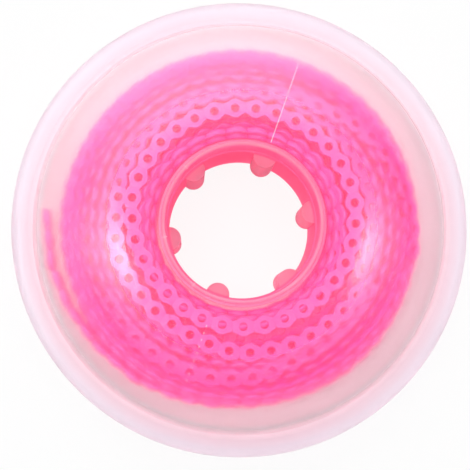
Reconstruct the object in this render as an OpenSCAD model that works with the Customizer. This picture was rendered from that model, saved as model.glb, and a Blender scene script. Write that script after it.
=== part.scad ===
// Two-part moulded spool holding a wound ring chain of soft elastomer.
// The spool lies on its rear face: +Z is its axis, and Z = 0 is the plane that it rests on.

/* [Casing] */
// Outer diameter over the rims
casing_d = 63; // [62:0.5:68]
// Overall height, face to face of the hub
casing_h = 14; // [13.5:0.25:17]
// Wall of the two dishes
wall = 1.1; // [0.8:0.05:1.2]
// How far the hub stands proud of the dishes
hub_proud = 0.3; // [0.1:0.05:0.5]
// Width of the flat ring round the hub, where each dish starts to curve
flat_w = 2.5; // [1.6:0.1:2.9]
// How far each dish falls from its middle to the foot of its brim
dish_fall = 4; // [3.6:0.1:4.2]
// How sharply that fall grows outwards
dish_power = 2.2; // [2:0.05:2.6]
// Width of the hollowed foot between a dish and its brim
foot_w = 0.8; // [0.5:0.05:1]
// How sharply that foot is hollowed, from 1 for straight
foot_power = 1.6; // [1.2:0.1:2]
// Width of the brim, from the crease to the rim
brim_w = 3; // [2.7:0.1:3.2]
// Thickness of the brim
brim_t = 1.3; // [1.1:0.05:1.6]
// Height of the bead along the brim's inner edge
bead_h = 0.15; // [0.05:0.05:0.3]
// Width of the rounding on the outer edge of the brim
rim_round = 1.4; // [0.8:0.1:1.6]
// Slit between the two rims, which the chain is drawn through
rim_slit = 0.3; // [0.2:0.05:0.5]

/* [Hub] */
// Radius of the bore
bore_r = 10; // [9.7:0.1:10.2]
// Wall of the hub's upper end, the spigot that the front half is pushed on
spigot_wall = 0.85; // [0.8:0.05:1]
// Clearance between the hub and the front half, round the spigot and at the shoulder
fit_gap = 0.05; // [0.03:0.01:0.08]
// Width of the shoulder round the spigot that the front half sits on
shoulder_w = 0.3; // [0.2:0.05:0.4]
// How much wider the bore is above the lugs, on the radius
bore_relief = 0.25; // [0.2:0.05:0.3]
// Rounding at the mouths of the bore
mouth_round = 0.25; // [0.1:0.05:0.25]

/* [Lugs] */
// Number of half-round lugs in the bore
lug_count = 6; // [3:1:9]
// Radius of each lug's rounding
lug_r = 1.6; // [1.2:0.1:1.8]
// Angle of the first lug from +X
lug_turn = 11; // [0:1:59]
// Depth of the lugs' upper ends below the top of the hub
lug_drop = 4; // [3:0.25:6]
// Height of the lugs' lower ends above the resting plane
lug_lift = 0.6; // [0.4:0.1:2]

/* [Chain] */
// Width of the chain
chain_w = 2.65; // [2.3:0.05:2.75]
// Thickness of the chain
chain_t = 0.8; // [0.6:0.05:0.85]
// Outer radius of the wound chain
wound_r = 24.4; // [23.8:0.1:24.6]
// Loops of the outer layer of turns
loops = 9; // [7:1:9]
// Clearance between the wound chain and the casing
wound_gap = 0.45; // [0.4:0.05:0.6]
// Clearance between the outer layer and the wound body under it
layer_gap = 0.3; // [0.25:0.05:0.4]

/* [Front run] */
// Links in the run that lies face up on the winding
run_links = 44; // [20:1:44]
// Distance from link to link
link_pitch = 2.8; // [2.7:0.05:2.8]
// Diameter of the hole in each link
link_hole = 1.15; // [0.8:0.05:1.3]
// Width of the web that joins two links
link_web = 1.25; // [0.8:0.05:1.6]
// Clearance between the run's two rounds
run_gap = 0.55; // [0.45:0.05:0.6]
// Angle of the run's first link from +X
run_turn = 215; // [0:1:359]
// Distance from the hub to the run's first link
run_off = 1.1; // [0.5:0.1:1.2]

/* [Hidden] */
$fn = 96;

// Profiles of the casing are in radius and height above the middle plane
casing_r = casing_d / 2;
mid_z = casing_h / 2;
crease_r = casing_r - brim_w;
dish_r = crease_r - foot_w;
dish_top = mid_z - hub_proud;
inner_top = dish_top - wall;
brim_low = rim_slit / 2;
brim_top = brim_low + brim_t;
spigot_r = bore_r + spigot_wall;
hole_r = spigot_r + fit_gap;
drum_r = spigot_r + shoulder_w;
flat_r = drum_r + flat_w;
relief_r = bore_r + bore_relief;
lug_top = casing_h - lug_drop;
relief_z = lug_top + lug_r / 5;
dish_steps = 20;
foot_steps = 5;
round_steps = 6;

// The winding's outline: an oval outside, rounded corners and a straight run along the drum
half_w = chain_w / 2;
half_t = chain_t / 2;
section_flat = 0.7;                                  // flat share of the chain's width
loop_rings = 24;
chord_dip = 1 - cos(180 / loop_rings);               // share by which a chord cuts inside its circle
corner_r = 1.8;
wound_in = drum_r + wound_gap + half_t + fit_gap;
wound_out = wound_r - half_t;
rear_top = inner_top - wound_gap - half_t;
oval_r = wound_in + corner_r;
oval_steps = 30;
corner_steps = 10;

// Loose end on the middle plane, from the last turn at tail_turn to its free tip
tail_turn = 270;
tail_route = [[-2.65, -24], [-8.4, -23], [-14.4, -20.4], [-19.4, -16.2], [-23.4, -10.8],
              [-25.7, -5.2], [-26.4, 1]];

function fall(r) = dish_fall * pow(max(0, r - flat_r) / (dish_r - flat_r), dish_power);
function slope(r) = r <= flat_r ? 0 : atan(dish_power * fall(r) / (r - flat_r));
function dish_point(r) = [r, dish_top - fall(r)];
function under_dish(r) = dish_point(r) - wall * [sin(slope(r)), cos(slope(r))];
function foot_point(t) = let (low = brim_top - bead_h)
    [dish_r + foot_w * t, low + (dish_top - dish_fall - low) * pow(1 - t, foot_power)];
function arc(centre, rx, ry, from, to, steps) =
    [for (i = [0:steps]) let (a = from + (to - from) * i / steps)
        centre + [rx * cos(a), ry * sin(a)]];
function reversed(list) = [for (i = [len(list) - 1:-1:0]) list[i]];

// A dish with its foot and brim, from its hole outwards and back along the underside
function dish_outline(hole) = let (
    steps = [for (i = [0:dish_steps]) i / dish_steps],
    rim_high = brim_low + brim_t / 4
) concat(
    [for (t = steps) dish_point(hole + (dish_r - hole) * t)],
    [for (i = [1:foot_steps]) foot_point(i / foot_steps)],
    [[crease_r + 4 * bead_h, brim_top]],
    arc([casing_r - rim_round, rim_high], rim_round, brim_top - rim_high, 90, 0, round_steps),
    [[casing_r - bead_h, brim_low], [dish_r - bead_h, brim_low]],
    reversed([for (t = steps) under_dish(hole + (dish_r - hole) * t)])
);

// The hub tube, from the resting plane up: a drum, its shoulder and the spigot
module hub_profile() {
    seat_z = mid_z + inner_top - fit_gap;
    lip = mouth_round;
    polygon(concat(
        arc([bore_r + lip, lip], lip, lip, 180, 270, round_steps),
        arc([spigot_r - lip, lip], lip, lip, 270, 360, round_steps),
        [[spigot_r, hub_proud + wall / 2], [drum_r, hub_proud + wall / 2]],
        [[drum_r, seat_z], [spigot_r, seat_z]],
        arc([spigot_r - lip, casing_h - lip], lip, lip, 0, 90, round_steps),
        arc([relief_r + lip, casing_h - lip], lip, lip, 90, 180, round_steps),
        [[relief_r, relief_z], [bore_r, relief_z]]
    ));
}

module lugs() {
    intersection() {
        for (i = [0:lug_count - 1])
            rotate([0, 0, lug_turn + 360 * i / lug_count])
                translate([bore_r, 0, lug_lift])
                    cylinder(r = lug_r, h = lug_top - lug_lift);
        cylinder(r = bore_r + spigot_wall / 3, h = casing_h);
    }
}

module rear_half() {
    color([0.96, 0.9, 0.93, 0.55]) {
        rotate_extrude() {
            translate([0, mid_z]) mirror([0, 1])
                polygon(dish_outline(bore_r + spigot_wall / 3));
            hub_profile();
        }
        lugs();
    }
}

module front_half() {
    color([0.98, 0.93, 0.96, 0.45])
        translate([0, 0, mid_z]) rotate_extrude() polygon(dish_outline(hole_r));
}

// The front run spirals outwards, flat under the front dish and clear of it at its last link
run_in = drum_r + run_off + half_w;
run_growth = chain_w + run_gap;                      // per round
function run_angle(s) = 360 / run_growth * (sqrt(run_in * run_in + run_growth * s / PI) - run_in);
function run_place(i) = let (turn = run_angle(link_pitch * i))
    (run_in + run_growth * turn / 360) * [cos(run_turn + turn), sin(run_turn + turn)];
run_reach = norm(run_place(run_links - 1)) + half_w;
run_high = under_dish(run_reach + wall / 2).y - layer_gap;
run_low = run_high - chain_t;
bend_lift = pow(section_flat * half_w, 2) / (2 * corner_r);   // how far a flat strip stands off a bend
front_top = run_low - layer_gap - half_t - bend_lift;

module chain_front_run() {
    places = [for (i = [0:run_links - 1]) run_place(i)];
    color([1, 0.5, 0.75])
        translate([0, 0, mid_z + run_low]) linear_extrude(height = chain_t) difference() {
            union() {
                for (p = places)
                    translate(p) circle(d = chain_w);
                for (i = [1:run_links - 1])
                    let (step = places[i] - places[i - 1])
                        translate(places[i - 1]) rotate(atan2(step.y, step.x))
                            translate([0, -link_web / 2]) square([norm(step), link_web]);
            }
            for (p = places)
                translate(p) circle(d = link_hole);
        }
}

// One side of the winding's outline from its tip to the drum, drawn in by a depth, up to a height
function side(depth, dip, high) = let (c = corner_r - depth) concat(
    arc([oval_r, 0], wound_out - oval_r - depth - dip, high - depth, 0, 90, oval_steps),
    [for (i = [1:corner_steps]) [oval_r - c * sin(90 * i / corner_steps),
                                 high - corner_r + c * cos(90 * i / corner_steps)]]
);
// The whole outline, over the front and back along the rear: [radius, height above the middle plane]
function outline(depth, dip) = concat(
    side(depth, dip, front_top),
    [for (p = reversed(side(depth, dip, rear_top))) [p.x, -p.y]]
);

module chain_core() {
    body = outline(half_t + layer_gap, wound_out * chord_dip);
    color([0.95, 0.35, 0.62])
        translate([0, 0, mid_z]) rotate_extrude() polygon([for (i = [1:len(body) - 1]) body[i]]);
}

// Places along the outline by distance from its tip
track = outline(0, 0);
track_at = [for (i = 0, s = 0; i < len(track); s = s + norm(track[min(i + 1, len(track) - 1)] - track[i]),
            i = i + 1) s];
track_length = track_at[len(track) - 1];
track_r = [for (i = [0:len(track) - 1]) [track_at[i], track[i].x]];
track_h = [for (i = [0:len(track) - 1]) [track_at[i], track[i].y]];
pitch = track_length / (loops + 1);
function wrap(s) = s - track_length * floor(s / track_length);
function on_track(s) = [lookup(wrap(s), track_r), lookup(wrap(s), track_h)];
function unit(v) = v / norm(v);

// The chain's section: six corners, across its width and its thickness
section = [for (p = [[1, 0], [section_flat, 1], [-section_flat, 1], [-1, 0],
                     [-section_flat, -1], [section_flat, -1]]) [p.x * half_w, p.y * half_t]];
function turn_section(s) = let (
    step = 0.2,
    across = unit(on_track(s + step) - on_track(s - step)),
    out = [across.y, -across.x]
) [for (p = section) on_track(s) + p.x * across + p.y * out];
function turn_ring(i) = let (a = tail_turn + 360 * i / loop_rings)
    [for (p = turn_section(pitch * i / loop_rings)) [p.x * cos(a), p.x * sin(a), mid_z + p.y]];
function shifted(ring, by) = [for (p = ring) p + by];

// A closed tube through rings of equal count, in triangles
module tube(rings) {
    n = len(rings[0]);
    last = len(rings) - 1;
    polyhedron(
        points = [for (ring = rings) for (p = ring) p],
        faces = concat(
            [for (i = [0:last - 1]) for (j = [0:n - 1]) for (half = [0, 1])
                let (a = i * n + j, b = i * n + (j + 1) % n)
                    half == 0 ? [a, b, b + n] : [a, b + n, a + n]],
            [for (j = [1:n - 2]) [0, j + 1, j]],
            [for (j = [1:n - 2]) [last * n, last * n + j, last * n + j + 1]]
        )
    );
}

turn_count = loops * loop_rings;
module chain_turns() {
    run = [chain_w, 0, 0];
    rings = [for (i = [0:turn_count]) turn_ring(i)];
    color([0.98, 0.4, 0.68])
        tube(concat([shifted(rings[0], -run)], rings, [shifted(rings[turn_count], run)]));
}

function tail_ring(i) = let (
    last = len(tail_route) - 1,
    along = i == 0 ? [-1, 0] : unit(tail_route[min(i + 1, last)] - tail_route[i - 1]),
    out = [-along.y, along.x],
    corners = [for (j = [0:5]) let (p = section[j], q = section[(j + 1) % 6])
        each p.y == q.y ? [p, (p + q) / 2] : [p]]
) [for (p = corners) [tail_route[i].x - p.y * out.x, tail_route[i].y - p.y * out.y, mid_z + p.x]];

module chain_tail() {
    color([0.98, 0.45, 0.7])
        tube([for (i = [0:len(tail_route) - 1]) tail_ring(i)]);
}

// Least gap of the turns to themselves, between sections at one angle
function from_edge(p, a, b) = let (t = max(0, min(1, (p - a) * (b - a) / ((b - a) * (b - a)))))
    norm(p - a - t * (b - a));
function apart(one, two) = min([for (p = one) for (j = [0:5]) from_edge(p, two[j], two[(j + 1) % 6])]);
flat_sections = [for (i = [0:turn_count]) turn_section(pitch * i / loop_rings)];
turns_gap = min([for (k = [1:loops]) for (i = [0:turn_count - k * loop_rings])
    let (one = flat_sections[i], two = flat_sections[i + k * loop_rings])
        norm(one[0] - two[0]) > 3 * chain_w ? chain_w : min(apart(one, two), apart(two, one))]);
echo(turns_gap = turns_gap, pitch = pitch, track_length = track_length);

rear_half();
front_half();
chain_core();
chain_turns();
chain_front_run();
chain_tail();
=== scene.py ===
import math
import random
import bmesh
import bpy
from mathutils import Matrix, Vector


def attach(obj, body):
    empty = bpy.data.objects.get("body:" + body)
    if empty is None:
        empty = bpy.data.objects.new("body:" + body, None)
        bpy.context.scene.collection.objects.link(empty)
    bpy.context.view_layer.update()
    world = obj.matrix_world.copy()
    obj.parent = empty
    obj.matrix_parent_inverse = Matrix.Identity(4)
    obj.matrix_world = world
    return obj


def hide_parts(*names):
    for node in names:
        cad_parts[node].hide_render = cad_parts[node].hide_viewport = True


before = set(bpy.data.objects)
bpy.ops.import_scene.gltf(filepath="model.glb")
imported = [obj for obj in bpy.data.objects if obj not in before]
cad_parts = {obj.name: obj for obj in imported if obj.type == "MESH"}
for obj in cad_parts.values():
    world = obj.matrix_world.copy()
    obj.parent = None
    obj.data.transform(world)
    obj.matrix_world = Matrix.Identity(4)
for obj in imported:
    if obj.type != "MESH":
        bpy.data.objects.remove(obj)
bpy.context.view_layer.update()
mm = 0.001
random.seed(7)

# Camera: looks down on the front half, a little off the axis
view = {"distance": 150, "pitch": -4.8, "yaw": 2.3, "right": 1.05, "up": 1.7, "top": 14,
        "lens": 86.7, "sensor": 36, "clipStart": 0.005}
turn = Matrix.Rotation(math.radians(view["pitch"]), 3, "X") @ Matrix.Rotation(math.radians(view["yaw"]), 3, "Y")
eye = turn.transposed() @ Vector((-view["right"], -view["up"], view["distance"])) + Vector((0, 0, view["top"]))
cameraData = bpy.data.cameras.new("camera")
cameraData.lens = view["lens"]
cameraData.sensor_width = view["sensor"]
cameraData.clip_start = view["clipStart"]
camera = bpy.data.objects.new("camera", cameraData)
bpy.context.scene.collection.objects.link(camera)
camera.matrix_world = Matrix.Translation(eye * mm) @ turn.transposed().to_4x4()
bpy.context.scene.camera = camera
print("camera placed")


def putInScene(name, mesh, body, material):
    mesh.materials.append(material)
    piece = bpy.data.objects.new(name, mesh)
    bpy.context.scene.collection.objects.link(piece)
    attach(piece, body)
    return piece


def finishMesh(name, bm):
    mesh = bpy.data.meshes.new(name)
    bm.to_mesh(mesh)
    bm.free()
    return mesh


def link(tree, source, target):
    tree.links.new(source, target)


def newMaterial(name):
    material = bpy.data.materials.new(name)
    material.use_nodes = True
    tree = material.node_tree
    return material, tree, tree.nodes["Principled BSDF"]


def placeNode(tree, kind, x, y, **settings):
    node = tree.nodes.new(kind)
    node.location = (x, y)
    for name, value in settings.items():
        setattr(node, name, value)
    return node


# Fine unevenness of a moulded surface, shared by every finish: a tint mask, a wear mask and a height
def makeSkinGroup():
    tree = bpy.data.node_groups.new("mouldedSkin", "ShaderNodeTree")
    for name, kind, value in (("Place", "NodeSocketVector", None), ("Cloud Scale", "NodeSocketFloat", 90),
                              ("Grain Scale", "NodeSocketFloat", 1500), ("Scratches", "NodeSocketFloat", 0.3)):
        socket = tree.interface.new_socket(name=name, in_out="INPUT", socket_type=kind)
        if value is not None:
            socket.default_value = value
    for name in ("Cloud", "Wear", "Height"):
        tree.interface.new_socket(name=name, in_out="OUTPUT", socket_type="NodeSocketFloat")
    inside = placeNode(tree, "NodeGroupInput", -900, 0)
    cloud = placeNode(tree, "ShaderNodeTexNoise", -600, 250)
    cloud.inputs["Detail"].default_value = 4
    grain = placeNode(tree, "ShaderNodeTexNoise", -600, 0)
    grain.inputs["Detail"].default_value = 2
    streak = placeNode(tree, "ShaderNodeTexVoronoi", -600, -250, feature="DISTANCE_TO_EDGE")
    streak.inputs["Scale"].default_value = 45
    line = placeNode(tree, "ShaderNodeMapRange", -400, -250)
    for socket, value in (("From Min", 0), ("From Max", 0.012), ("To Min", 1), ("To Max", 0)):
        line.inputs[socket].default_value = value
    worn = placeNode(tree, "ShaderNodeMath", -200, -250, operation="MULTIPLY")
    patch = placeNode(tree, "ShaderNodeMath", 0, -250, operation="MULTIPLY")
    lift = placeNode(tree, "ShaderNodeMath", 0, 0, operation="ADD")
    outside = placeNode(tree, "NodeGroupOutput", 250, 0)
    for texture in (cloud, grain, streak):
        link(tree, inside.outputs["Place"], texture.inputs["Vector"])
    link(tree, inside.outputs["Cloud Scale"], cloud.inputs["Scale"])
    link(tree, inside.outputs["Grain Scale"], grain.inputs["Scale"])
    link(tree, streak.outputs["Distance"], line.inputs["Value"])
    link(tree, line.outputs["Result"], worn.inputs[0])
    link(tree, inside.outputs["Scratches"], worn.inputs[1])
    link(tree, worn.outputs["Value"], patch.inputs[0])
    link(tree, cloud.outputs["Fac"], patch.inputs[1])
    link(tree, grain.outputs["Fac"], lift.inputs[0])
    link(tree, patch.outputs["Value"], lift.inputs[1])
    link(tree, cloud.outputs["Fac"], outside.inputs["Cloud"])
    link(tree, patch.outputs["Value"], outside.inputs["Wear"])
    link(tree, lift.outputs["Value"], outside.inputs["Height"])
    return tree


skinGroup = makeSkinGroup()


def addSkin(tree, shader, cloudScale, grainScale, scratches, depth):
    place = placeNode(tree, "ShaderNodeTexCoord", -1300, 300)
    skin = placeNode(tree, "ShaderNodeGroup", -1050, 300, node_tree=skinGroup)
    for name, value in (("Cloud Scale", cloudScale), ("Grain Scale", grainScale), ("Scratches", scratches)):
        skin.inputs[name].default_value = value
    bump = placeNode(tree, "ShaderNodeBump", -300, -500)
    bump.inputs["Distance"].default_value = depth * mm
    bump.inputs["Strength"].default_value = 1
    link(tree, place.outputs["Object"], skin.inputs["Place"])
    link(tree, skin.outputs["Height"], bump.inputs["Height"])
    link(tree, bump.outputs["Normal"], shader.inputs["Normal"])
    return place, skin


# Frosted moulding of both halves: tints, painted glow and roughness by distance from the axis, in millimetres.
# The tints are the plastic's own pale colour with painted light and shade: the pale pink over the winding and
# the hub's salmon and pinks are painted light, the chain's pink light shining through the plastic, and the
# darker tints from 28.3 mm out to the rim are painted shade of the rim's crease and of the floor under the
# brim.
frost = {
    "tintsAndPaintedLight": [(9.7, (0.86, 0.42, 0.56, 1)), (10.0, (0.97, 0.14, 0.32, 1)), (10.2, (1.0, 0.24, 0.42, 1)),
              (10.45, (0.98, 0.58, 0.7, 1)), (11.1, (0.98, 0.58, 0.7, 1)), (11.3, (1.0, 0.93, 0.955, 1)),
              (19, (1.0, 0.935, 0.96, 1)), (27.3, (1.0, 0.93, 0.945, 1)), (28.3, (0.98, 0.9, 0.925, 1)),
              (29.3, (0.94, 0.85, 0.885, 1)), (30.0, (0.94, 0.885, 0.92, 1)), (30.3, (0.925, 0.9, 0.935, 1)),
              (31.2, (0.925, 0.93, 0.955, 1))],
    "paintedGlow": [(9.7, (0, 0, 0, 1)), (10.0, (0.24, 0, 0.03, 1)), (10.2, (0.24, 0, 0.05, 1)),
             (10.45, (0.17, 0.03, 0.06, 1)), (11.1, (0.17, 0.03, 0.06, 1)), (11.3, (0, 0, 0, 1)),
             (27, (0, 0, 0, 1)), (28.2, (0.06, 0.042, 0.047, 1)), (29, (0, 0, 0, 1))],
    "matt": [(11.0, 0.45), (11.3, 0.16), (16.5, 0.18), (19.5, 0.35), (23.5, 0.28), (25, 0.32), (27, 0.46),
             (29.5, 0.48), (31.4, 0.35)],
    "mottle": (0.99, 0.965, 0.975, 1), "ior": 1.47, "clearShadow": 0.9, "reach": 31.5,
    "cloud": 90, "grain": 1400, "scratches": 0.03, "depth": 0.003}


def addStops(ramp, stops, reach):
    for i, (r, value) in enumerate(stops):
        stop = ramp.elements[i] if i == 0 else ramp.elements.new(r / reach)
        stop.position = r / reach
        stop.color = value if isinstance(value, tuple) else (value, value, value, 1)
    ramp.elements.remove(ramp.elements[-1])  # the ramp's own end stop


# Elastomer of the chain: its tints by height are painted shade, with the links sunk just under the top rows
# darker and more saturated and the lower ones paler, and the top face's colour takes over between the sunk
# heights
rubber = {
    "face": (1.0, 0.1, 0.39, 1), "mottle": (1.0, 0.072, 0.34, 1), "sunk": (10.5, 11.4),
    "layerShade": [(8.9, (1.0, 0.13, 0.45, 1)), (10.0, (1.0, 0.052, 0.37, 1)), (10.45, (1.0, 0.015, 0.26, 1))],
    "roughness": 0.42, "paintedGlowColour": (1.0, 0.015, 0.2, 1), "paintedGlow": 0.4, "cloud": 260, "grain": 2600, "depth": 0.01}


def makeRubber():
    material, tree, shader = newMaterial("pinkElastomer")
    place, skin = addSkin(tree, shader, rubber["cloud"], rubber["grain"], 0, rubber["depth"])
    tint = placeNode(tree, "ShaderNodeMix", -450, 100, data_type="RGBA")
    tint.inputs["A"].default_value = rubber["face"]
    tint.inputs["B"].default_value = rubber["mottle"]
    link(tree, skin.outputs["Cloud"], tint.inputs["Factor"])
    height = placeNode(tree, "ShaderNodeSeparateXYZ", -1050, -100)
    depth = placeNode(tree, "ShaderNodeMath", -900, -300, operation="DIVIDE")
    depth.inputs[1].default_value = frost["reach"] * mm
    under = placeNode(tree, "ShaderNodeValToRGB", -700, -300)
    addStops(under.color_ramp, rubber["layerShade"], frost["reach"])
    sunk = placeNode(tree, "ShaderNodeMapRange", -750, -100)  # painted shade: links sunk below the top rows take the layer tints, darkest and most saturated just below them
    sunk.inputs["From Min"].default_value = rubber["sunk"][0] * mm
    sunk.inputs["From Max"].default_value = rubber["sunk"][1] * mm
    layer = placeNode(tree, "ShaderNodeMix", -200, 100, data_type="RGBA")
    link(tree, place.outputs["Object"], height.inputs["Vector"])
    link(tree, height.outputs["Z"], depth.inputs[0])
    link(tree, depth.outputs["Value"], under.inputs["Fac"])
    link(tree, height.outputs["Z"], sunk.inputs["Value"])
    link(tree, sunk.outputs["Result"], layer.inputs["Factor"])
    link(tree, under.outputs["Color"], layer.inputs["A"])
    link(tree, tint.outputs["Result"], layer.inputs["B"])
    link(tree, layer.outputs["Result"], shader.inputs["Base Color"])
    shader.inputs["Roughness"].default_value = rubber["roughness"]
    shader.inputs["Emission Color"].default_value = rubber["paintedGlowColour"]  # painted glow: lifts the pink of the shaded hollows, standing in for light that the rubber passes and bounces
    shader.inputs["Emission Strength"].default_value = rubber["paintedGlow"]
    return material


def makeFrosted(name, transmission):
    material, tree, shader = newMaterial(name)
    place, skin = addSkin(tree, shader, frost["cloud"], frost["grain"], frost["scratches"], frost["depth"])
    flat = placeNode(tree, "ShaderNodeVectorMath", -1100, -200, operation="MULTIPLY")
    flat.inputs[1].default_value = (1, 1, 0)
    radius = placeNode(tree, "ShaderNodeVectorMath", -900, -200, operation="LENGTH")
    share = placeNode(tree, "ShaderNodeMath", -700, -200, operation="DIVIDE")
    share.inputs[1].default_value = frost["reach"] * mm
    link(tree, place.outputs["Object"], flat.inputs[0])
    link(tree, flat.outputs["Vector"], radius.inputs[0])
    link(tree, radius.outputs["Value"], share.inputs[0])
    # the plastic's tints with painted light and shade: the chain's pink light in the hub and over the winding,
    # shade in the rim band
    zones = placeNode(tree, "ShaderNodeValToRGB", -500, 0)
    addStops(zones.color_ramp, frost["tintsAndPaintedLight"], frost["reach"])
    matt = placeNode(tree, "ShaderNodeValToRGB", -500, -250)
    addStops(matt.color_ramp, frost["matt"], frost["reach"])
    paintedGlow = placeNode(tree, "ShaderNodeValToRGB", -500, -500)  # painted glow: the chain's pink light shining through the hub's wall, and a faint painted light lifting the rim's crease
    addStops(paintedGlow.color_ramp, frost["paintedGlow"], frost["reach"])
    for ramp in (zones, matt, paintedGlow):
        link(tree, share.outputs["Value"], ramp.inputs["Fac"])
    link(tree, paintedGlow.outputs["Color"], shader.inputs["Emission Color"])
    shader.inputs["Emission Strength"].default_value = 1
    tint = placeNode(tree, "ShaderNodeMix", -200, 100, data_type="RGBA", blend_type="MULTIPLY")
    tint.inputs["B"].default_value = frost["mottle"]
    link(tree, skin.outputs["Cloud"], tint.inputs["Factor"])
    link(tree, zones.outputs["Color"], tint.inputs["A"])
    link(tree, tint.outputs["Result"], shader.inputs["Base Color"])
    worn = placeNode(tree, "ShaderNodeMath", -200, -250, operation="ADD")
    link(tree, matt.outputs["Color"], worn.inputs[0])
    link(tree, skin.outputs["Wear"], worn.inputs[1])
    link(tree, worn.outputs["Value"], shader.inputs["Roughness"])
    shader.inputs["IOR"].default_value = frost["ior"]
    shader.inputs["Transmission Weight"].default_value = transmission
    path = placeNode(tree, "ShaderNodeLightPath", -200, 400)
    through = placeNode(tree, "ShaderNodeMath", 0, 400, operation="MULTIPLY")
    through.inputs[1].default_value = frost["clearShadow"]
    clear = placeNode(tree, "ShaderNodeBsdfTransparent", 0, -200)
    mix = placeNode(tree, "ShaderNodeMixShader", 300, 200)
    link(tree, tint.outputs["Result"], clear.inputs["Color"])
    link(tree, path.outputs["Is Shadow Ray"], through.inputs[0])
    link(tree, through.outputs["Value"], mix.inputs["Fac"])
    link(tree, shader.outputs["BSDF"], mix.inputs[1])
    link(tree, clear.outputs["BSDF"], mix.inputs[2])
    link(tree, mix.outputs["Shader"], tree.nodes["Material Output"].inputs["Surface"])
    return material


pinkRubber = makeRubber()
frontPlastic = makeFrosted("frostedFront", transmission=0.98)
rearPlastic = makeFrosted("frostedRear", transmission=0.85)
for node, material in (("rear_half", rearPlastic), ("front_half", frontPlastic)):
    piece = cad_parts[node]
    piece.data.materials.clear()
    piece.data.materials.append(material)
print("materials made")

# One link of the chain: a flat soft ring, drawn out to a web on either side
ring = {"outer": 1.33, "hole": 0.55, "thick": 0.8, "flat": 0.84, "around": 12,
        "pitch": 2.8, "webWide": 1.4, "webThick": 0.64, "webOver": 0.04}


def makeLink():
    bm = bmesh.new()
    middle = (ring["outer"] + ring["hole"]) / 2
    half = (ring["outer"] - ring["hole"]) / 2
    section = bmesh.ops.create_circle(bm, segments=6, radius=1)["verts"]
    bmesh.ops.rotate(bm, matrix=Matrix.Rotation(math.radians(30), 3, "Z"), verts=section)
    for corner in section:  # the hexagon's two tips stay on the middle, its other corners make the flat faces
        tip = abs(corner.co.x) > 0.9
        corner.co.x = math.copysign(half * (1 if tip else ring["flat"]), corner.co.x)
        corner.co.y = 0 if abs(corner.co.y) < 0.1 else math.copysign(ring["thick"] / 2, corner.co.y)
    bmesh.ops.rotate(bm, matrix=Matrix.Rotation(math.radians(90), 3, "X"), verts=section)
    bmesh.ops.translate(bm, vec=(middle, 0, 0), verts=section)
    bmesh.ops.rotate(bm, matrix=Matrix.Rotation(math.pi / ring["around"], 3, "Z"), verts=section)
    bmesh.ops.spin(bm, geom=bm.edges[:] + bm.verts[:], cent=(0, 0, 0), axis=(0, 0, 1),
                   angle=math.tau, steps=ring["around"], use_merge=True)
    bmesh.ops.remove_doubles(bm, verts=bm.verts, dist=0.001)
    for corner in bm.verts:  # web
        if corner.co.xy.length > middle and abs(corner.co.y) < 0.5 * abs(corner.co.x):
            corner.co.x = math.copysign(ring["pitch"] / 2 + ring["webOver"], corner.co.x)
            corner.co.y = math.copysign(ring["webWide"] / 2, corner.co.y)
            corner.co.z *= ring["webThick"] / ring["thick"]
    bmesh.ops.recalc_face_normals(bm, faces=bm.faces)
    bmesh.ops.scale(bm, vec=(mm, mm, mm), verts=bm.verts)
    for face in bm.faces:
        face.smooth = abs(face.normal.z) < 0.9
    return finishMesh("link", bm)


linkMesh = makeLink()


def layLinks(name, frames):
    bm = bmesh.new()
    for place in frames:
        before = len(bm.verts)
        bm.from_mesh(linkMesh)
        bm.verts.ensure_lookup_table()
        bmesh.ops.transform(bm, matrix=place, verts=bm.verts[before:])
    return finishMesh(name, bm)


def linkPlace(ahead, side, normal, spot):
    place = Matrix((ahead, side, normal)).transposed().to_4x4()
    place.translation = spot * mm
    return place


def between(knots, at):
    knots = sorted(knots)
    if knots[-1][0] - knots[0][0] == 360:  # a closed row goes on past its end
        at = knots[0][0] + (at - knots[0][0]) % 360
    for (a, va), (b, vb) in zip(knots, knots[1:]):
        if a <= at <= b:
            t = (at - a) / (b - a)
            t = t * t * (3 - 2 * t)
            return va + (vb - va) * t
    return knots[0][1] if at < knots[0][0] else knots[-1][1]


# How the links follow their row
laying = {"waves": (2, 3, 5, 8), "stepFixes": 3, "closeShare": 0.4, "closeRadius": 15}


def rowFrames(row):
    waves = [(k, random.uniform(0, math.tau), random.uniform(-1, 1)) for k in laying["waves"]]

    def wobble(angle, shift):
        return sum(size * math.sin(k * math.radians(angle) + phase + shift) for k, phase, size in waves) / 2

    def point(angle):
        r = between(row["radius"], angle) + row.get("sway", 0) * wobble(angle, 0)
        z = between(row["height"], angle) + row.get("heave", 0) * wobble(angle, 2)
        a = math.radians(angle)
        return Vector((r * math.cos(a), r * math.sin(a), z))

    start, stop = row["radius"][0][0], row["radius"][-1][0]
    closed = stop - start == 360
    pitch = ring["pitch"]
    if closed:  # a whole number of links
        length = sum((point(start + k + 1) - point(start + k)).length for k in range(360))
        pitch = length / round(length / ring["pitch"])
    angle, stop = start + row.get("skip", 0), stop + row.get("skip", 0)
    spare = laying["closeShare"] * math.degrees(pitch / laying["closeRadius"]) if closed else 0
    frames = []
    while angle < stop - spare:
        here = point(angle)
        step = math.degrees(pitch / here.xy.length)
        for _ in range(laying["stepFixes"]):
            step *= pitch / (point(angle + step) - here).length
        ahead = (point(angle + step) - point(angle - step)).normalized()
        a = math.radians(angle)
        out = Vector((math.cos(a), math.sin(a), 0))
        lean = math.radians(between(row["tilt"], angle) + row.get("roll", 0) * wobble(angle, 4))
        normal = Vector((0, 0, 1)) * math.cos(lean) + out * math.sin(lean)
        side = normal.cross(ahead).normalized()
        frames.append(linkPlace(ahead, side, ahead.cross(side), here))
        angle += step
    return frames


def layRows(rows):
    return [place for row in rows for place in rowFrames(row)]


def ringRow(radius, height, tilt, skip, **motion):
    return {"radius": [(0, radius), (360, radius)], "height": [(0, height), (360, height)],
            "tilt": [(0, tilt), (360, tilt)], "skip": skip, **motion}


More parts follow.
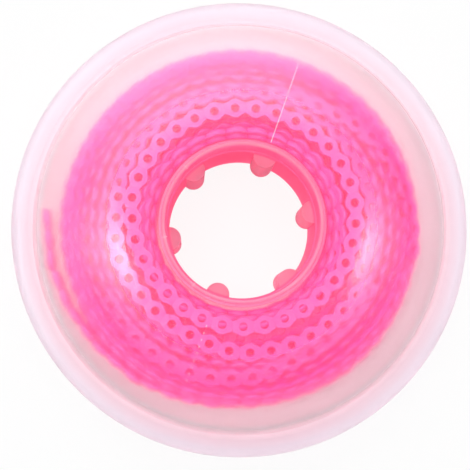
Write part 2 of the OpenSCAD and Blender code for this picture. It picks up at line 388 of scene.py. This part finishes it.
# Rows under the front half: angle from +X in degrees against radius, height and tilt from face up
frontRows = [
    {"radius": [(0, 15.2), (20, 15.5), (45, 15.6), (90, 15.6), (135, 15.4), (165, 15.1), (182, 14.6),
                (200, 14.0), (220, 13.7), (270, 13.8), (300, 13.9), (320, 14.2), (340, 14.8), (360, 15.2)],
     "height": [(0, 11.95), (360, 11.95)], "tilt": [(0, 4), (360, 4)], "roll": 2},
    {"radius": [(168, 16.9), (176, 16.8), (193, 17.05), (220, 16.4), (245, 16.35), (272, 17.2), (300, 17.5),
                (336, 18.2)],
     "height": [(168, 11.5), (200, 11.8), (300, 11.75), (336, 11.1)], "tilt": [(168, 12), (200, 8), (336, 14)]},
    {"radius": [(212, 20.5), (240, 20.9), (258, 20.9), (272, 20.4), (290, 19.5), (312, 18.9), (335, 18.8)],
     "height": [(212, 10.4), (240, 10.8), (335, 10.9)], "tilt": [(212, 22), (240, 16), (335, 16)]},
    {"radius": [(229.5, 18.1), (250, 18.2), (266, 18.7), (290, 19.0)],
     "height": [(229.5, 10.7), (290, 10.6)], "tilt": [(229.5, 22), (290, 22)]},
    {"radius": [(-20, 17.2), (0, 17.5), (60, 17.9), (120, 17.8), (164, 17.3)],
     "height": [(-20, 10.9), (0, 11.05), (164, 11.05)], "tilt": [(-20, 30), (60, 38), (164, 34)], "roll": 5},
    {"radius": [(-8, 23.5), (15, 22.6), (35, 21.2), (50, 19.6), (62, 18.7), (82, 18.3)],
     "height": [(-8, 9.3), (15, 10.1), (35, 10.7), (50, 11.05), (62, 11.3), (82, 11.1)],
     "tilt": [(-8, 45), (35, 26), (62, 20), (82, 34)]},
    {"radius": [(128, 14.1), (150, 14.0), (180, 13.3), (204, 12.9)],
     "height": [(128, 10.7), (150, 11.0), (204, 11.0)], "tilt": [(128, -20), (204, -24)]},
    {"radius": [(0, 13.2), (360, 13.2)], "height": [(0, 11.1), (50, 10.7), (75, 10.0), (110, 10.0), (140, 10.7),
                (180, 11.0), (360, 11.1)], "tilt": [(0, -52), (360, -52)], "skip": 5, "sway": 0.15, "roll": 14},
    ringRow(12.0, 9.9, -84, 0, sway=0.06, roll=6),
    ringRow(12.55, 10.6, -72, 3, sway=0.1, roll=10),
    ringRow(15.2, 10.15, 0, 4, sway=0.3, roll=10),
    ringRow(16.9, 10.05, 20, 2, sway=0.2, roll=8),
    ringRow(18.2, 10.1, 44, 7, sway=0.2, roll=7),
    ringRow(19.3, 10.3, 54, 1, sway=0.22, roll=7),
    ringRow(20.5, 10.05, 58, 5, sway=0.22, roll=7),
    ringRow(21.6, 9.6, 60, 3, sway=0.2, roll=7),
    ringRow(22.6, 9.0, 64, 8, sway=0.18, roll=7),
    ringRow(23.4, 8.2, 72, 2, sway=0.15, roll=7),
    ringRow(23.95, 7.3, 84, 6, sway=0.1, roll=6),
    ringRow(24.05, 6.3, 100, 0, sway=0.1, roll=6),
]
frontFrames = layRows(frontRows)
rows = putInScene("chain_front_rows", layLinks("chain_front_rows", frontFrames), "wound_spool",
                  pinkRubber)
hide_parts("chain_turns", "chain_front_run")

# Rows at the back, which no node has
rearRows = [
    ringRow(12.1, 3.6, 262, 0, sway=0.1, roll=6),
    ringRow(13.3, 2.5, 200, 3, sway=0.2, roll=10),
    ringRow(15.4, 2.3, 178, 6, sway=0.2, roll=8),
    ringRow(17.1, 2.5, 172, 1, sway=0.3, roll=8),
    ringRow(18.7, 2.9, 166, 5, sway=0.3, roll=8),
    ringRow(20.3, 3.4, 160, 2, sway=0.25, roll=8),
    ringRow(21.8, 4.1, 148, 7, sway=0.2, roll=8),
    ringRow(23.1, 5.1, 130, 4, sway=0.15, roll=8),
]
rearCount = len(layRows(rearRows))  # draws waves of its own, ahead of those of the rows that are laid
putInScene("chain_rear_rows", layLinks("chain_rear_rows", layRows(rearRows)), "wound_spool",
           pinkRubber)
print("rows laid", len(frontFrames) + rearCount)

# Bed of packed chain under the rows
bed = {"profile": [(11.6, 3.6), (11.6, 9.6), (12.6, 10.0), (15, 9.9), (17, 9.8), (19, 9.5), (21, 8.8),
                   (22.6, 7.9), (23.4, 7.0), (22.8, 5.6), (21, 4.3), (19, 3.5), (17, 3.0), (15, 2.8),
                   (12.6, 2.9)], "around": 96}


def spunMesh(name, profile, around):
    bm = bmesh.new()
    corners = [bm.verts.new((r * mm, 0, z * mm)) for r, z in profile]
    edges = [bm.edges.new((a, b)) for a, b in zip(corners, corners[1:] + corners[:1])]
    bmesh.ops.spin(bm, geom=corners + edges, cent=(0, 0, 0), axis=(0, 0, 1), angle=math.tau, steps=around,
                   use_merge=True)
    bmesh.ops.remove_doubles(bm, verts=bm.verts, dist=1e-6)
    bmesh.ops.recalc_face_normals(bm, faces=bm.faces)
    for face in bm.faces:
        face.smooth = True
    return finishMesh(name, bm)


core = putInScene("chain_bed", spunMesh("chain_bed", bed["profile"], bed["around"]), "wound_spool",
                  pinkRubber)
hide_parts("chain_core")

# Loose end: its links turn from leaning to upright along the route
tail = {"width": 2.65, "height": 7, "twist": (24, 0), "twistOver": 40, "cuts": 60,
        "route": [(-2.65, -24), (-8.4, -23), (-14.4, -20.4), (-19.4, -16.2), (-23.4, -10.8), (-25.7, -5.2),
                  (-26.4, 1)]}
path = [Vector((x, y, tail["height"])) for x, y in tail["route"]]
fine = [a.lerp(b, i / tail["cuts"]) for a, b in zip(path, path[1:]) for i in range(tail["cuts"])] + path[-1:]
upright = Vector((0, 0, 1))
travelled, due = 0, ring["outer"]
tailFrames = []
for a, b in zip(fine, fine[1:]):
    travelled += (b - a).length
    if travelled >= due:
        due += ring["pitch"]
        ahead = (b - a).normalized()
        first, last = tail["twist"]
        lean = math.radians(first + (last - first) * travelled / tail["twistOver"])
        normal = ahead.cross(upright) * math.cos(lean) + upright * math.sin(lean)
        tailFrames.append(linkPlace(ahead, normal.cross(ahead), normal, b))
strand = putInScene("chain_tail_links", layLinks("chain_tail_links", tailFrames), "wound_spool",
                    pinkRubber)
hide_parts("chain_tail")

# Fine lines in the moulding: one across the front dish, a broken one opposite and short ones on the lip.
# A line has its angle, start and end, and the broken one the number and length of its dashes too.
marks = {"long": (70.7, 11.4, 23.2), "broken": (250.7, 14.4, 23.0, 9, 0.3),
         "lip": (136, 191, 232), "lipFrom": 10.2, "lipTo": 10.9, "lipTop": 14,
         "width": 0.08, "thick": 0.03, "lift": 0.01,
         "flatTo": 13.65, "edge": 27.7, "top": 13.7, "fall": 4, "curve": 2.2,
         "colour": (1.0, 0.85, 0.92, 1), "faint": (1.0, 0.62, 0.80, 1), "roughness": 0.45,
         "cloud": 400, "grain": 3000, "depth": 0.002}


def dishTop(r):
    run = max(0, r - marks["flatTo"]) / (marks["edge"] - marks["flatTo"])
    return marks["top"] - marks["fall"] * run ** marks["curve"]


def addLine(bm, angle, start, stop, height):
    segments = max(1, round(stop - start))
    line = bmesh.ops.create_grid(bm, x_segments=segments, y_segments=1, size=1)["verts"]
    for corner in line:
        r = start + (corner.co.x + 1) / 2 * (stop - start)
        corner.co = (r, corner.co.y * marks["width"] / 2, height(r) + marks["lift"])
    faces = list({face for corner in line for face in corner.link_faces})
    made = bmesh.ops.solidify(bm, geom=faces, thickness=-marks["thick"])["geom"]
    line += [part for part in made if isinstance(part, bmesh.types.BMVert)]
    bmesh.ops.rotate(bm, matrix=Matrix.Rotation(math.radians(angle), 3, "Z"), verts=list(set(line)))


def makeMarks(name, body, lines, colour):
    bm = bmesh.new()
    for line in lines:
        addLine(bm, *line)
    bmesh.ops.recalc_face_normals(bm, faces=bm.faces)
    bmesh.ops.scale(bm, vec=(mm, mm, mm), verts=bm.verts)
    mesh = finishMesh(name, bm)
    material, tree, shader = newMaterial(name)
    skin = addSkin(tree, shader, marks["cloud"], marks["grain"], 0, marks["depth"])[1]
    tint = placeNode(tree, "ShaderNodeMix", -450, 100, data_type="RGBA")
    tint.inputs["A"].default_value = colour
    tint.inputs["B"].default_value = marks["faint"]
    link(tree, skin.outputs["Cloud"], tint.inputs["Factor"])
    link(tree, tint.outputs["Result"], shader.inputs["Base Color"])
    shader.inputs["Roughness"].default_value = marks["roughness"]
    return putInScene(name, mesh, body, material)


makeMarks("front_witness_line", "front_cover", [(*marks["long"], dishTop)], marks["colour"])
angle, start, stop, count, dash = marks["broken"]
gap = (stop - start) / count
makeMarks("front_witness_dots", "front_cover",
          [(angle, start + k * gap, start + k * gap + dash, dishTop) for k in range(count)], marks["faint"])
makeMarks("lip_ticks", "wound_spool",
          [(angle, marks["lipFrom"], marks["lipTo"], lambda r: marks["lipTop"]) for angle in marks["lip"]],
          marks["colour"])
print("marks made")

# Floor, world and lamps. The camera sees the floor as nearly white, and the plastic keeps most of its shadow.
studio = {"floorColour": (0.85, 0.85, 0.85, 1), "floorRoughness": 0.9, "floorSeen": 0.9, "floorThrough": 0.4,
          "floorHalf": 3, "floorDrop": 0.0002, "worldLevel": 0.36, "aim": (0, 0, 0.007),
          "lamps": [("leftLamp", (-0.19, -0.005, 0.4), (0.05, 0.2), 0.4),  # name, place, size, watts
                    ("rightLamp", (0.2, 0.0, 0.4), (0.05, 0.12), 0.25),
                    ("topLamp", (-0.05, 0.3, 0.5), (0.5, 0.35), 1.0),
                    ("keyLamp", (-0.2, 0.7, 0.6), (1.4, 0.9), 4.6)]}


def makeFloorMaterial():
    material, tree, shader = newMaterial("paleFloor")
    shader.inputs["Base Color"].default_value = studio["floorColour"]
    shader.inputs["Roughness"].default_value = studio["floorRoughness"]
    white = placeNode(tree, "ShaderNodeEmission", 0, 300)
    rays = placeNode(tree, "ShaderNodeLightPath", -400, 500)
    seen = placeNode(tree, "ShaderNodeMath", -200, 500, operation="MULTIPLY")
    seen.inputs[1].default_value = studio["floorSeen"]
    share = placeNode(tree, "ShaderNodeMath", 0, 500, operation="MULTIPLY_ADD")
    share.inputs[1].default_value = studio["floorThrough"]
    mix = placeNode(tree, "ShaderNodeMixShader", 300, 300)
    link(tree, rays.outputs["Is Camera Ray"], seen.inputs[0])
    link(tree, rays.outputs["Is Transmission Ray"], share.inputs[0])
    link(tree, seen.outputs["Value"], share.inputs[2])
    link(tree, share.outputs["Value"], mix.inputs["Fac"])
    link(tree, shader.outputs["BSDF"], mix.inputs[1])
    link(tree, white.outputs["Emission"], mix.inputs[2])
    link(tree, mix.outputs["Shader"], tree.nodes["Material Output"].inputs["Surface"])
    return material


bm = bmesh.new()
bmesh.ops.create_grid(bm, x_segments=1, y_segments=1, size=studio["floorHalf"])
bmesh.ops.translate(bm, vec=(0, 0, -studio["floorDrop"]), verts=bm.verts)
floor = bpy.data.objects.new("floor", finishMesh("floor", bm))
floor.data.materials.append(makeFloorMaterial())
bpy.context.scene.collection.objects.link(floor)

world = bpy.data.worlds.new("studio")
bpy.context.scene.world = world
world.use_nodes = True
sky = world.node_tree
background = sky.nodes["Background"]
background.inputs["Color"].default_value = (1, 1, 1, 1)
rays = placeNode(sky, "ShaderNodeLightPath", -600, 300)
level = placeNode(sky, "ShaderNodeMath", -300, 300, operation="MULTIPLY_ADD")  # white where the camera sees it
level.inputs[1].default_value = 1 - studio["worldLevel"]
level.inputs[2].default_value = studio["worldLevel"]
link(sky, rays.outputs["Is Camera Ray"], level.inputs[0])
link(sky, level.outputs["Value"], background.inputs["Strength"])

for name, place, size, watts in studio["lamps"]:
    light = bpy.data.lights.new(name, "AREA")
    light.shape = "RECTANGLE"
    light.size, light.size_y = size
    light.energy = watts
    lamp = bpy.data.objects.new(name, light)
    bpy.context.scene.collection.objects.link(lamp)
    direction = Vector(studio["aim"]) - Vector(place)
    lamp.matrix_world = Matrix.Translation(place) @ direction.to_track_quat("-Z", "Y").to_matrix().to_4x4()
print("floor, world and lamps made")
bpy.context.scene.view_settings.view_transform = "Standard"
